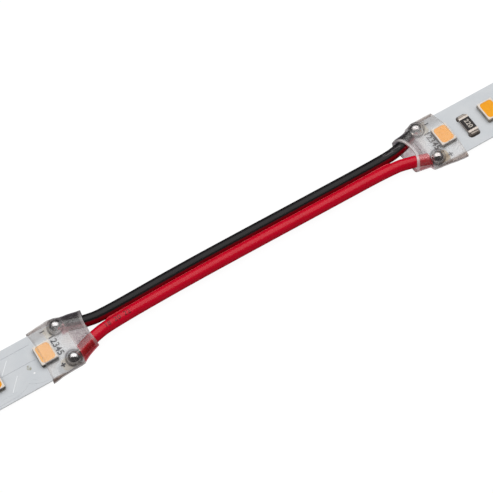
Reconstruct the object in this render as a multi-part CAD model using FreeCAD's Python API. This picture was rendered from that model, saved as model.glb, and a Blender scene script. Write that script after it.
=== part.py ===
import FreeCAD, Part
import math
import os

# Lead joining two cut lengths of LED strip, millimetres.
# +X runs along the strip and the cable, +Y across it, +Z up from the surface it lies on.
# The origin is midway between the two joints, on that surface.

Vec = FreeCAD.Vector
tolerance = 0.001

# Strip
board_width = 8.0
board_thickness = 0.25
board_corner = 0.35
tape_inset = 0.15           # of the tape's long edges from the board's
tape_thickness = 0.15
led_pitch = 8.33
leds_per_board = 2
joint_spacing = 67.0        # between the innermost LEDs of the two boards

# LED, long side across the strip
led_length = 3.3
led_width = 2.65
led_height = 0.8
led_draft = 0.06
led_corner = 0.18
terminal_thickness = 0.22
terminal_gap = 0.5
terminal_reach = 0.1
terminal_inset = 0.15       # of the terminals' long edges from the housing's
terminal_corner = 0.09
phosphor_length = 2.82
phosphor_width = 2.12
phosphor_corner = 0.42
phosphor_depth = 0.35
phosphor_taper = 0.15       # each side of the dish slopes in by this much

# Pads, solder and resistor
pad_length = 2.7
pad_width = 1.95
pad_thickness = 0.035
pad_corner = 0.58
pad_inset = 0.175           # of a pad from the edge of the board
solder_radius = 1.0
solder_squat = 0.62         # ball centre above the pad, as a share of its radius
solder_foot = 0.92          # radius on the pad, as a share of the ball's
solder_waist = 0.8          # least radius of the core that fills the foot, as a share of the ball's
solder_from_led = 3.1
resistor_length = 3.2
resistor_width = 1.6
resistor_height = 0.55
resistor_lift = 0.03        # of the ceramic above the board
resistor_cap = 0.5
resistor_cap_edge = 0.15
resistor_face = 0.04
resistor_face_inset = 0.06
resistor_offset_across = -0.37
fillet_reach = 0.55         # of the solder past the ends of the caps
fillet_side = 0.17          # of the solder past each side of the caps
fillet_corner = 0.5
fillet_height = 0.47
fillet_crest_width = 1.28
fillet_crest_reach = 0.19
fillet_crest_corner = 0.17
fillet_overlap = 0.25       # how far the solder comes back along the sides of the caps

# Cable
core_diameter = 1.8
core_pitch = 1.85
conductor_diameter = 0.9
conductor_clearance = 0.02
web_height = 0.45
web_clearance = 0.02
core_clearance = 0.05       # over the floor of the sleeve
insulation_to_board = 0.05
core_end_inset = 0.45       # of a core's cut end from the middle of its pad
conductor_in_solder = 1.15
arc_share = 0.45            # of the shorter run at a corner, the most that its arc takes up

# Sleeve
sleeve_wall = 0.3
sleeve_clearance = 0.04
tape_clearance = 0.02
sleeve_past_led = 1.0       # from the centre of the innermost LED, away from the joint
sleeve_mouth_from_solder = 4.05
mouth_dish = 0.45
flat_cut = 0.05             # the tube is flattened by this much where it lies on the surface
side_bulge = 0.12
floor_shares = [0.22, 0.58, 0.9]    # places of the control points under the joint, out from the middle
shoulder_grow = (0.6, 0.8)          # how the wall is shared between across and up at the shoulder
strip_end_skew = {"left": 0.0, "right": 4.0}
mouth_shift = {"left": 0.12, "right": -0.12}

# Sizes and heights above the surface that follow
tape_width = board_width - 2 * tape_inset
tape_z = sleeve_wall + tape_clearance
board_z = tape_z + tape_thickness
board_top = board_z + board_thickness
led_top = board_top + led_height
pad_top = board_top + pad_thickness
pad_centre_across = board_width / 2 - pad_inset - pad_width / 2
solder_z = pad_top + solder_radius * solder_squat
solder_top = solder_z + solder_radius
core_z = sleeve_wall + core_clearance + core_diameter / 2

# Places along the strip, measured from the middle of the cable
inner_led_x = joint_spacing / 2
board_end_x = inner_led_x - led_pitch / 2
board_far_x = inner_led_x + (leds_per_board - 0.5) * led_pitch
solder_x = inner_led_x - solder_from_led
insulation_end_x = board_end_x - insulation_to_board
sleeve_end_x = inner_led_x + sleeve_past_led
sleeve_mouth_x = solder_x - sleeve_mouth_from_solder
resistor_x = inner_led_x + led_pitch / 2

# Middle line of the cable, a slight bow that ends where the cores part
cable_line = [(-24.0, 0.0), (-12.0, 0.22), (0.0, 0.28), (12.0, 0.24), (24.0, 0.12)]
# Each core past the parting, on its way out to its cut end: distance along, and share of the way out
core_parting = [(2.5, 0.34), (3.9, 0.63)]
core_end_across = pad_centre_across - core_end_inset

# Slack of the sleeve over what it covers. Each row is a place: its distance from the mouth, the cut
# ends of the cores, the solder or the LED, the slack of the side, the slack and the rise of the
# shoulder, and the crown's width as a share of what it covers and its rise
slack_over_cores = [(-1.2, 0.42, 0.1, 0.1, 0.45, 0.25), (0.6, 0.5, 0.15, 0.1, 0.45, 0.22)]
slack_over_core_ends = [(-1.3, 0.25, 0.0, 0.1, 0.4, 0.2)]
slack_over_solder = [(-0.8, 0.25, 0.18, 0.0, 0.4, 0.15), (0.1, 0.22, 0.26, -0.03, 0.42, 0.18),
                     (0.95, 0.22, 0.06, -0.3, 0.35, -0.05)]
slack_over_led = [(-1.42, 0.22, 0.7, 0.0, 0.7, 0.12), (0.0, 0.22, 0.45, -0.05, 0.7, 0.08),
                  (1.5, 0.22, 0.45, -0.05, 0.7, 0.08)]
# Height of the sleeve's widest line: above the board's underside, and by the cores, above the surface
side_by_solder = 0.45
side_by_led = 0.28
side_by_core_ends = 1.0


def side_sign(side):
    return -1 if side == "left" else 1


def block(x_low, x_high, y_low, y_high, z_low, z_high):
    size = Vec(x_high - x_low, y_high - y_low, z_high - z_low)
    return Part.makeBox(size.x, size.y, size.z, Vec(x_low, y_low, z_low))


def rounded_rectangle(width, length, corner, centre):
    """Closed wire in a level plane, width along X and length along Y."""
    half_x = width / 2
    half_y = length / 2
    corners = [(1, 1), (-1, 1), (-1, -1), (1, -1)]
    edges = []
    start = None
    previous = None
    for quadrant, (sx, sy) in enumerate(corners):
        middle = centre + Vec(sx * (half_x - corner), sy * (half_y - corner), 0)
        angles = [math.radians(90 * quadrant + step) for step in (0, 45, 90)]
        points = [middle + Vec(corner * math.cos(a), corner * math.sin(a), 0) for a in angles]
        if previous is not None:
            edges.append(Part.LineSegment(previous, points[0]).toShape())
        else:
            start = points[0]
        edges.append(Part.Arc(*points).toShape())
        previous = points[2]
    edges.append(Part.LineSegment(previous, start).toShape())
    return Part.Wire(edges)


def plate(width, length, thickness, corner, centre):
    """Flat plate with rounded corners, standing on the given centre."""
    wire = rounded_rectangle(width, length, corner, centre)
    return Part.Face(wire).extrude(Vec(0, 0, thickness))


# Route of a cord: straight runs joined by tangent arcs
def corner_radii(points):
    """Largest radius that each inner point leaves room for."""
    radii = []
    for before, point, after in zip(points, points[1:], points[2:]):
        run_in = point - before
        run_out = after - point
        turn = run_in.getAngle(run_out)
        shorter = min(run_in.Length, run_out.Length)
        radii.append(arc_share * shorter / math.tan(turn / 2))
    return radii


def route_wire(points, radii):
    edges = []
    last = points[0]
    for before, point, after, radius in zip(points, points[1:], points[2:], radii):
        run_in = (point - before).normalize()
        run_out = (after - point).normalize()
        half_turn = run_in.getAngle(run_out) / 2
        setback = radius * math.tan(half_turn)
        start = point - run_in * setback
        end = point + run_out * setback
        inward = (run_out - run_in).normalize()
        middle = point + inward * (radius / math.cos(half_turn) - radius)
        edges.append(Part.LineSegment(last, start).toShape())
        edges.append(Part.Arc(start, middle, end).toShape())
        last = end
    edges.append(Part.LineSegment(last, points[-1]).toShape())
    return Part.Wire(edges)


def sweep(path, profile):
    return path.makePipeShell([profile], True, False)


def tube(points, radii, radius):
    path = route_wire(points, radii)
    start = points[0]
    circle = Part.Circle(start, points[1] - start, radius)
    return sweep(path, Part.Wire(circle.toShape()))


def core_spread(share):
    """Distance of a core from the middle line at a share of its way out."""
    bonded = core_pitch / 2
    return bonded + (core_end_across - bonded) * share


def core_route(across):
    """Points of one core from the left insulation end to the right one.

    across is +1 for the core on the +Y side and -1 for the other.
    """
    half_pitch = core_pitch / 2
    straight = [Vec(x, y + across * half_pitch, core_z) for x, y in cable_line]
    left_x = cable_line[0][0]
    right_x = cable_line[-1][0]
    left = [Vec(left_x - run, across * core_spread(share), core_z) for run, share in core_parting]
    right = [Vec(right_x + run, across * core_spread(share), core_z) for run, share in core_parting]
    first = Vec(-insulation_end_x, across * core_end_across, core_z)
    last = Vec(insulation_end_x, across * core_end_across, core_z)
    return [first] + left[::-1] + straight + right + [last]


def conductor_route(points):
    """The core's route carried on in line into both solder joints."""
    first = points[0] + (points[0] - points[1]).normalize() * conductor_in_solder
    last = points[-1] + (points[-1] - points[-2]).normalize() * conductor_in_solder
    return [first] + points[1:-1] + [last]


def web(red_points):
    """Strip of insulation that fills the groove between the two bonded cores."""
    half = web_height / 2
    reach = core_diameter / 2 + web_clearance
    root = core_diameter / 4
    tip_middle = core_pitch - reach
    tip_corner = core_pitch - math.sqrt(reach ** 2 - half ** 2)
    bonded = len(core_parting) + 1
    points = red_points[bonded:-bonded]
    start = points[0]
    low_root = start + Vec(0, root, -half)
    low_tip = start + Vec(0, tip_corner, -half)
    middle_tip = start + Vec(0, tip_middle, 0)
    high_tip = start + Vec(0, tip_corner, half)
    high_root = start + Vec(0, root, half)
    edges = [
        Part.LineSegment(low_root, low_tip).toShape(),
        Part.Arc(low_tip, middle_tip, high_tip).toShape(),
        Part.LineSegment(high_tip, high_root).toShape(),
        Part.LineSegment(high_root, low_root).toShape(),
    ]
    return sweep(route_wire(points, corner_radii(points)), Part.Wire(edges))


def cable_nodes():
    between_boards = block(-insulation_end_x, insulation_end_x, -board_width, board_width,
                           0, solder_top)
    black_points = core_route(1)
    red_points = core_route(-1)
    nodes = {}
    for colour, points in (("black", black_points), ("red", red_points)):
        radii = corner_radii(points)
        print(colour, "bend radii", [round(r, 1) for r in radii])
        outer = tube(conductor_route(points), radii, core_diameter / 2).common(between_boards)
        bore_radius = conductor_diameter / 2 + conductor_clearance
        bore = tube(conductor_route(points), radii, bore_radius)
        if colour == "red":
            outer = outer.fuse(web(points)).removeSplitter()
        nodes[colour + "_insulation"] = outer.cut(bore)
        conductor = tube(conductor_route(points), radii, conductor_diameter / 2)
        nodes[colour + "_conductor"] = conductor
        length = route_wire(points, radii).Length
        section = math.pi * (core_diameter ** 2 / 4 - bore_radius ** 2)
        print(colour, "length", round(length, 2), "volume", round(nodes[colour + "_insulation"].Volume, 2),
              "section by length", round(section * length, 2))
    return nodes


# Board and its tape
def strip_board(side):
    s = side_sign(side)
    middle = Vec(s * (board_end_x + board_far_x) / 2, 0, board_z)
    return plate(board_far_x - board_end_x, board_width, board_thickness, board_corner, middle)


def adhesive_tape(side):
    s = side_sign(side)
    middle = Vec(s * (board_end_x + board_far_x) / 2, 0, tape_z)
    return plate(board_far_x - board_end_x, tape_width, tape_thickness, board_corner, middle)


# One LED, centred at x on the board
def led_housing(x):
    foot = Vec(x, 0, board_top + terminal_thickness)
    head = Vec(x, 0, led_top)
    lower = rounded_rectangle(led_width, led_length, led_corner, foot)
    upper = rounded_rectangle(led_width - 2 * led_draft, led_length - 2 * led_draft, led_corner, head)
    body = Part.makeLoft([lower, upper], True, True)
    return body.cut(led_phosphor(x))


def led_phosphor(x):
    """Fill in the dished top of the housing, narrower at the bottom of the dish."""
    floor = Vec(x, 0, led_top - phosphor_depth)
    lower = rounded_rectangle(phosphor_width - 2 * phosphor_taper, phosphor_length - 2 * phosphor_taper,
                              phosphor_corner - phosphor_taper, floor)
    upper = rounded_rectangle(phosphor_width, phosphor_length, phosphor_corner, Vec(x, 0, led_top))
    return Part.makeLoft([lower, upper], True, True)


def led_terminal(x, across):
    """Folded foot under one end of the housing; across is +1 or -1."""
    inner_y = terminal_gap / 2
    outer_y = led_length / 2 + terminal_reach
    width = led_width - 2 * terminal_inset
    middle = Vec(x, across * (inner_y + outer_y) / 2, board_top)
    return plate(width, outer_y - inner_y, terminal_thickness, terminal_corner, middle)


# Pads, solder and resistor
def solder_pad(side, across):
    s = side_sign(side)
    middle = Vec(s * (board_end_x + board_corner + pad_length / 2), across * pad_centre_across, board_top)
    return plate(pad_length, pad_width, pad_thickness, pad_corner, middle)


def solder_joint(side, across, conductor):
    """Ball of solder sitting on the pad, pulled in at its foot, with the wire end in it."""
    s = side_sign(side)
    centre = Vec(s * solder_x, across * pad_centre_across, solder_z)
    ball = Part.makeSphere(solder_radius, centre)
    foot = Part.makeCone(solder_radius * solder_foot, solder_radius * solder_waist, solder_z - pad_top,
                         Vec(centre.x, centre.y, pad_top))
    above_pad = block(centre.x - 2 * solder_radius, centre.x + 2 * solder_radius,
                      centre.y - 2 * solder_radius, centre.y + 2 * solder_radius,
                      pad_top, solder_top + solder_radius)
    return ball.fuse(foot).common(above_pad).cut(conductor)


def resistor_body():
    half = resistor_length / 2 - resistor_cap
    ceramic = block(resistor_x - resistor_width / 2, resistor_x + resistor_width / 2,
                    resistor_offset_across - half, resistor_offset_across + half,
                    board_top + resistor_lift, board_top + resistor_height)
    half_face = resistor_width / 2 - resistor_face_inset
    face = block(resistor_x - half_face, resistor_x + half_face,
                 resistor_offset_across - half, resistor_offset_across + half,
                 board_top + resistor_height, board_top + resistor_height + resistor_face)
    return ceramic.fuse(face)


def resistor_end_cap(across):
    inner = resistor_length / 2 - resistor_cap
    middle_y = resistor_offset_across + across * (inner + resistor_cap / 2)
    cap = block(resistor_x - resistor_width / 2, resistor_x + resistor_width / 2,
                middle_y - resistor_cap / 2, middle_y + resistor_cap / 2,
                board_top, board_top + resistor_height + resistor_face)
    outer_y = resistor_offset_across + across * resistor_length / 2
    lips = [edge for edge in cap.Edges
            if abs(edge.CenterOfMass.y - outer_y) < tolerance
            and edge.CenterOfMass.z > board_top + tolerance]
    return cap.makeFillet(resistor_cap_edge, lips)


def resistor_solder(across, end_cap):
    """Sloping fillet of solder round the outer end of a cap."""
    outer_y = resistor_offset_across + across * resistor_length / 2
    foot_width = resistor_width + 2 * fillet_side
    foot = rounded_rectangle(foot_width, 2 * fillet_reach, fillet_corner,
                             Vec(resistor_x, outer_y, board_top))
    crest = rounded_rectangle(fillet_crest_width, 2 * fillet_crest_reach, fillet_crest_corner,
                              Vec(resistor_x, outer_y, board_top + fillet_height))
    mound = Part.makeLoft([foot, crest], True, True)
    near_y = outer_y - across * fillet_overlap
    far_y = outer_y + across * 2 * fillet_reach
    keep = block(resistor_x - foot_width, resistor_x + foot_width, min(near_y, far_y), max(near_y, far_y),
                 board_top, board_top + resistor_height)
    return mound.common(keep).cut(end_cap)


# Heat-shrink sleeve
def sleeve_stations():
    """Inner outline of the shrunk sleeve at places along the joint.

    Each row holds the distance from the middle of the cable, then half the width, the height of
    the widest line, the shoulder across and up, and half the width and the height of the crown.
    """
    gap = sleeve_clearance
    board_reach = board_width / 2 + gap
    core_crown = core_z + core_diameter / 2 + gap
    core_reach = core_spread(core_parting[0][1]) + core_diameter / 2 + gap
    end_reach = core_end_across + core_diameter / 2 + gap
    led_reach = led_length / 2 + gap
    ball_reach = pad_centre_across + solder_radius + gap
    solder_side_z = board_z + side_by_solder
    led_side_z = board_z + side_by_led
    # What is covered: rows of slack, place, reach of the side, its height, reach of the top, its height
    covered = [
        (slack_over_cores, sleeve_mouth_x, core_reach, core_z, core_reach, core_crown),
        (slack_over_core_ends, insulation_end_x, end_reach, side_by_core_ends, end_reach, core_crown),
        (slack_over_solder, solder_x, board_reach, solder_side_z, ball_reach, solder_top + gap),
        (slack_over_led, inner_led_x, board_reach, led_side_z, led_reach, led_top + gap),
    ]
    stations = []
    for slack, place, side_reach, side_z, top_reach, top_z in covered:
        for along, side_slack, shoulder_slack, shoulder_rise, crown_share, crown_rise in slack:
            stations.append((place + along, side_reach + side_slack, side_z,
                             top_reach + shoulder_slack, top_z + shoulder_rise,
                             top_reach * crown_share, top_z + crown_rise))
    return stations


def sleeve_row(station, side, grow):
    """Control points round the sleeve at one station, grown outwards by grow."""
    x, half_width, widest_z, shoulder_y, shoulder_z, crown_y, crown_z = station
    s = side_sign(side)
    floor_z = sleeve_wall if grow == 0 else -flat_cut
    along = (sleeve_end_x - x) / (sleeve_end_x - sleeve_mouth_x)
    shift = mouth_shift[side] * max(0.0, along)
    half_outline = [(half_width * share, floor_z) for share in floor_shares]
    half_outline += [
        (half_width + grow, floor_z),
        (half_width + side_bulge + grow, widest_z),
        (shoulder_y + grow * shoulder_grow[0], shoulder_z + grow * shoulder_grow[1]),
        (crown_y, crown_z + grow),
    ]
    outline = half_outline + [(-y, z) for y, z in reversed(half_outline)]
    return [Vec(s * x, y + shift, z) for y, z in outline]


def smooth_tube(rows):
    """Solid whose side is one smooth surface over a net of control points, closed round."""
    count_u = len(rows)
    count_v = len(rows[0])
    surface = Part.BSplineSurface()
    knots_u = list(range(count_u - 2))
    mults_u = [4] + [1] * (len(knots_u) - 2) + [4]
    knots_v = list(range(count_v + 1))
    mults_v = [1] * len(knots_v)
    surface.buildFromPolesMultsKnots(rows, mults_u, mults_v, knots_u, knots_v, False, True, 3, 3)
    side_face = surface.toShape()
    ends = [edge for edge in side_face.Edges if edge.isClosed() and edge.BoundBox.XLength < tolerance]
    caps = [Part.Face(Part.Wire(edge)) for edge in ends]
    shell = Part.Shell([side_face] + caps)
    shell.sewShape()
    return Part.Solid(shell)


def sleeve(side):
    """Clear tube shrunk over the board end, the inner LED, the solder and both cores."""
    s = side_sign(side)
    stations = sleeve_stations()
    outer = smooth_tube([sleeve_row(row, side, sleeve_wall) for row in stations])
    inner = smooth_tube([sleeve_row(row, side, 0.0) for row in stations])
    tall = 4 * solder_top
    wide = 2 * board_width
    below = block(-2 * board_far_x, 2 * board_far_x, -wide, wide, -tall, 0)
    skin = outer.cut(inner).cut(below)
    beyond = block(0, board_width, -wide, wide, -tall, tall)
    beyond.rotate(Vec(0, 0, 0), Vec(0, 0, 1), strip_end_skew[side] * s)
    if s < 0:
        beyond.rotate(Vec(0, 0, 0), Vec(0, 0, 1), 180)
    beyond.translate(Vec(s * sleeve_end_x, 0, 0))
    # The free edge at the wires dishes in: it is cut by a large upright cylinder
    half_mouth = core_spread(core_parting[0][1]) + core_diameter / 2 + sleeve_wall
    dish_radius = (half_mouth ** 2 + mouth_dish ** 2) / (2 * mouth_dish)
    dish = Part.makeCylinder(dish_radius, 2 * tall,
                             Vec(s * (sleeve_mouth_x + mouth_dish - dish_radius), 0, -tall))
    return skin.cut(beyond).cut(dish)


def build():
    nodes = cable_nodes()
    conductors = {1: nodes["black_conductor"], -1: nodes["red_conductor"]}
    poles = {1: "negative", -1: "positive"}
    for side in ("left", "right"):
        s = side_sign(side)
        nodes[side + "_strip_board"] = strip_board(side)
        nodes[side + "_adhesive_tape"] = adhesive_tape(side)
        for across in (1, -1):
            nodes[side + "_" + poles[across] + "_pad"] = solder_pad(side, across)
            joint = solder_joint(side, across, conductors[across])
            nodes[side + "_" + poles[across] + "_solder"] = joint
        for index in range(leds_per_board):
            x = s * (inner_led_x + index * led_pitch)
            name = side + "_led_" + str(index + 1)
            nodes[name + "_housing"] = led_housing(x)
            nodes[name + "_phosphor"] = led_phosphor(x)
            nodes[name + "_cathode"] = led_terminal(x, 1)
            nodes[name + "_anode"] = led_terminal(x, -1)
        nodes[side + "_sleeve"] = sleeve(side)
    nodes["resistor_body"] = resistor_body()
    for across, word in ((1, "far"), (-1, "near")):
        cap = resistor_end_cap(across)
        nodes["resistor_" + word + "_cap"] = cap
        nodes["resistor_" + word + "_solder"] = resistor_solder(across, cap)
    return nodes


os.makedirs("parts", exist_ok=True)
for name, shape in build().items():
    if not shape.isValid() or len(shape.Solids) != 1:
        print("check", name, "valid", shape.isValid(), "solids", len(shape.Solids))
    shape.exportStep("parts/" + name + ".step")
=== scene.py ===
import math

import bmesh
import bpy
import numpy as np
from mathutils import Matrix, Vector


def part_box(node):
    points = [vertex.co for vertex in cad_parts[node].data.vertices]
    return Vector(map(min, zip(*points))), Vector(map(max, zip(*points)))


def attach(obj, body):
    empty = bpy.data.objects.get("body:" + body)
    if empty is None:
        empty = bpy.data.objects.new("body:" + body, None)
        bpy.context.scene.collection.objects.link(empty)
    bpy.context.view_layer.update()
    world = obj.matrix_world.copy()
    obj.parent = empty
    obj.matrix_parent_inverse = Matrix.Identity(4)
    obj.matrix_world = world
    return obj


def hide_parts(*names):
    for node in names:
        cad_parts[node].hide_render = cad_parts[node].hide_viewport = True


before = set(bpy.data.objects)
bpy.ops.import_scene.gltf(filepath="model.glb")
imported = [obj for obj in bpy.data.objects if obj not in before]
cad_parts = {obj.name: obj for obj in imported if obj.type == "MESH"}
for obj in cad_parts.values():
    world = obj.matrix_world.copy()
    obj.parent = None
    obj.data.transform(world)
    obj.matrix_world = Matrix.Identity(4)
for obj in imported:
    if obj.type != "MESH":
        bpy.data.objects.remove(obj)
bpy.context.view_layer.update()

# Looks of a lead that joins two lengths of LED strip. Sizes and places are in millimetres in the
# CAD's own frame and become metres when a mesh is made.
MM = 0.001

scene = bpy.context.scene
scene.view_settings.view_transform = "Standard"


def node_box(node):
    low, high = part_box(node)
    return np.array(low) / MM, np.array(high) / MM


def node_centre(node):
    low, high = node_box(node)
    return (low + high) / 2


# Sizes read from the frame
board_low, board_high = node_box("right_strip_board")
BOARD_TOP = board_high[2]
BOARD_END = board_low[0]
BOARD_FAR = board_high[0]
BOARD_HALF = board_high[1]
LED_X = node_centre("right_led_1_housing")[0]
LED_TOP = node_box("right_led_1_housing")[1][2]
BALL_X, BALL_Y = np.abs(node_centre("right_positive_solder")[:2])
BALL_TOP = node_box("right_positive_solder")[1][2]

# Sizes set here
LED_WIDTH = 2.65
LED_LENGTH = 3.3
BALL_RADIUS = 1.0
CORE_RADIUS = 0.9
CORE_Z = 1.25
BORE_RADIUS = 0.47
WEB_HEIGHT = 0.45
FILM_WALL = 0.28
FILM_WALL_BESIDE = 0.12
FILM_WALL_OVER_BALL = 0.16
FILM_GAP = 0.03
SIGN = {"left": -1, "right": 1}
UP = np.array([0, 0, 1])

# Routes of the two cores: the control points, left end to right end
BLACK_ROUTE = [(-29.285, 2.4), (-27.9, 1.854), (-26.5, 1.426), (-24, 0.98), (-12, 1.245),
               (0, 1.205), (12, 1.1), (24, 1.03), (26.5, 1.426), (27.9, 1.854), (29.285, 2.4)]
RED_ROUTE = [(-29.285, -2.4), (-27.9, -1.854), (-26.5, -1.426), (-24, -0.87), (-12, -0.605),
             (0, -0.645), (12, -0.75), (24, -0.82), (26.5, -1.426), (27.9, -1.854), (29.285, -2.4)]


# Colours and node helpers
def srgb(red, green, blue):
    """Screen colour, 0 to 255, as the linear colour that a shader takes."""
    def linear(c):
        c /= 255
        return c / 12.92 if c <= 0.04045 else ((c + 0.055) / 1.055) ** 2.4
    return (linear(red), linear(green), linear(blue), 1.0)


class Finish:
    """A material and the nodes that its helpers add to it."""

    def __init__(self, name, colour, roughness=0.5, metallic=0.0, specular=0.5):
        self.material = bpy.data.materials.new(name)
        self.material.use_nodes = True
        self.tree = self.material.node_tree
        self.shader = self.tree.nodes["Principled BSDF"]
        self.output = self.tree.nodes["Material Output"]
        for name, value in (("Base Color", colour), ("Roughness", roughness),
                            ("Metallic", metallic), ("Specular IOR Level", specular)):
            self.shader.inputs[name].default_value = value
        self.place = self.node("ShaderNodeTexCoord").outputs["Object"]

    def node(self, kind, **inputs):
        made = self.tree.nodes.new(kind)
        for name, value in inputs.items():
            self.set(made.inputs[name.replace("_", " ")], value)
        return made

    def set(self, socket, value):
        if isinstance(value, bpy.types.NodeSocket):
            self.tree.links.new(value, socket)
        else:
            socket.default_value = value

    def feed(self, made, *values):
        """Give the sockets of a node their values, in order."""
        for socket, value in zip(made.inputs, values):
            self.set(socket, value)

    def noise(self, size_mm, detail=2.0, roughness=0.5, stretch=(1, 1, 1)):
        """Noise with features of about this size, 0 to 1."""
        scale = [share / (size_mm * MM) for share in stretch]
        mapping = self.node("ShaderNodeMapping", Vector=self.place, Scale=scale)
        texture = self.node("ShaderNodeTexNoise", Vector=mapping.outputs["Vector"], Scale=1.0,
                            Detail=detail, Roughness=roughness)
        return texture.outputs["Fac"]

    def spread(self, value, low_in, high_in, low_out=0, high_out=1):
        """The value, its inner range stretched to the outer one and held at both ends."""
        made = self.node("ShaderNodeMapRange")
        self.feed(made, value, low_in, high_in, low_out, high_out)
        return made.outputs["Result"]

    def math(self, operation, *values):
        made = self.node("ShaderNodeMath")
        made.operation = operation
        self.feed(made, *values)
        return made.outputs["Value"]

    def mix(self, share, first, second):
        made = self.node("ShaderNodeMix")
        made.data_type = "RGBA"
        self.set(made.inputs["Factor"], share)
        self.set(made.inputs["A"], first)
        self.set(made.inputs["B"], second)
        return made.outputs["Result"]

    def mix_shaders(self, share, first, second):
        made = self.node("ShaderNodeMixShader")
        self.feed(made, share, first, second)
        return made.outputs["Shader"]

    def attribute(self, name):
        """Number that the mesh stores at its points under this name."""
        reader = self.node("ShaderNodeAttribute")
        reader.attribute_name = name
        return reader.outputs["Fac"]

    def ragged(self, value, texture, reach):
        """The value, moved up or down by a texture by as much as reach."""
        return self.math("ADD", value, self.spread(texture, 0, 1, -reach, reach))

    def axis(self, index):
        """Place along one axis, in millimetres."""
        split = self.node("ShaderNodeSeparateXYZ", Vector=self.place)
        return self.math("MULTIPLY", split.outputs[index], 1 / MM)

    def spot(self, place, reach):
        """1 within an ellipse about a place on the board, fading to 0 just outside it."""
        total = None
        for index in (0, 1):
            gap = self.math("SUBTRACT", self.axis(index), place[index])
            share = self.math("POWER", self.math("DIVIDE", gap, reach[index]), 2.0)
            total = share if total is None else self.math("ADD", total, share)
        return self.spread(total, 0.7, 1.3, 1, 0)

    def colour(self, value):
        self.set(self.shader.inputs["Base Color"], value)

    def vary_roughness(self, value, low, high):
        self.set(self.shader.inputs["Roughness"], self.spread(value, 0.3, 0.7, low, high))

    def bump(self, height, depth_mm):
        made = self.node("ShaderNodeBump", Distance=depth_mm * MM, Height=height)
        self.set(self.shader.inputs["Normal"], made.outputs["Normal"])
        return made.outputs["Normal"]


# Object and mesh helpers
def rise(value, start, width):
    """0 up to start and 1 from start + width on."""
    return np.clip((value - start) / width, 0, 1)


def fall(value, end, width):
    """1 up to end - width and 0 from end on."""
    return np.clip((end - value) / width, 0, 1)


def add_object(name, data):
    made = bpy.data.objects.new(name, data)
    scene.collection.objects.link(made)
    return made


def mesh_of(curve):
    """Mesh of a curve or a text, in metres."""
    carrier = add_object("carrier", curve)
    mesh = bpy.data.meshes.new_from_object(carrier)
    bpy.data.objects.remove(carrier)
    return mesh


def mesh_from(name, points, faces):
    mesh = bpy.data.meshes.new(name)
    mesh.from_pydata([[c * MM for c in p] for p in points], [], faces)
    return mesh


def place_piece(name, mesh, finish):
    mesh.materials.append(finish.material)
    piece = add_object(name, mesh)
    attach(piece, "root")
    return piece


def add_piece(name, points, faces, finish, replaces=(), sharp_above=40.0):
    """Mesh piece from points in millimetres, shaded smooth up to the given angle."""
    mesh = mesh_from(name, points, faces)
    build = bmesh.new()
    build.from_mesh(mesh)
    bmesh.ops.recalc_face_normals(build, faces=build.faces)
    build.to_mesh(mesh)
    build.free()
    mesh.shade_smooth()
    mesh.set_sharp_from_angle(angle=math.radians(sharp_above))
    piece = place_piece(name, mesh, finish)
    if replaces:
        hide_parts(*replaces)
    return piece


def skin(rings, closed=True, first=0):
    """Faces between rings of points of equal count, with their ends filled if closed."""
    count = len(rings[0])
    faces = []
    for row in range(len(rings) - 1):
        for column in range(count):
            a = first + row * count + column
            b = first + row * count + (column + 1) % count
            faces.append((a, b, b + count, a + count))
    if closed:
        last = first + (len(rings) - 1) * count
        faces.append(tuple(reversed(range(first, first + count))))
        faces.append(tuple(range(last, last + count)))
    return faces


def add_rings(name, rings, finish, replaces=(), sharp_above=40.0):
    """Piece skinned over rings of points and closed at both ends."""
    points = [point for ring in rings for point in ring]
    return add_piece(name, points, skin(rings), finish, replaces, sharp_above)


def rounded_ring(centre, width, length, corner, z, steps=5):
    """Points round a rounded rectangle, width along X and length along Y."""
    ring = []
    for quadrant, (sx, sy) in enumerate([(1, 1), (-1, 1), (-1, -1), (1, -1)]):
        for step in range(steps + 1):
            angle = math.radians(90 * quadrant + 90 * step / steps)
            ring.append((centre[0] + sx * (width / 2 - corner) + corner * math.cos(angle),
                         centre[1] + sy * (length / 2 - corner) + corner * math.sin(angle), z))
    return ring


def stepped(width, length, steps):
    """Outline rows from (inset, corner, z) steps, the inset taken off the width and the length."""
    return [(width - inset, length - inset, corner, z) for inset, corner, z in steps]


def add_stacked(name, centre, outline, finish, replaces):
    """Piece whose outline steps through (width, length, corner, z) rows."""
    add_rings(name, [rounded_ring(centre, *row) for row in outline], finish, replaces)


# Camera, floor and light
CAMERA_ELEVATION = 60.19
CAMERA_ROLL = 6.43
CAMERA_TURN = 25.35
CAMERA_DISTANCE = 216.59
CAMERA_AIM = Vector((-0.86, -0.03, 0.28))
FOCAL_PIXELS = 1498.62
PICTURE_PIXELS = 493
SENSOR_WIDTH = 36.0
TURN = math.radians(-CAMERA_TURN)

view = bpy.data.cameras.new("camera")
view.sensor_width = SENSOR_WIDTH
view.lens = FOCAL_PIXELS / PICTURE_PIXELS * SENSOR_WIDTH
view.clip_start = 0.01
camera = add_object("camera", view)
turn = Matrix.Rotation(TURN, 3, "Z")
tip = Matrix.Rotation(math.radians(90 - CAMERA_ELEVATION), 3, "X")
roll = Matrix.Rotation(math.radians(-CAMERA_ROLL), 3, "Z")
facing = turn @ tip @ roll
camera_place = (CAMERA_AIM + facing.col[2] * CAMERA_DISTANCE) * MM
camera.matrix_world = Matrix.Translation(camera_place) @ facing.to_4x4()
scene.camera = camera


def seen_directly(tree):
    """1 for rays that show the background: from the camera, off gloss or through glass."""
    path = tree.nodes.new("ShaderNodeLightPath")
    total = path.outputs["Is Camera Ray"]
    for name in ("Is Glossy Ray", "Is Transmission Ray"):
        larger = tree.nodes.new("ShaderNodeMath")
        larger.operation = "MAXIMUM"
        tree.links.new(total, larger.inputs[0])
        tree.links.new(path.outputs[name], larger.inputs[1])
        total = larger.outputs["Value"]
    return total


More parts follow.
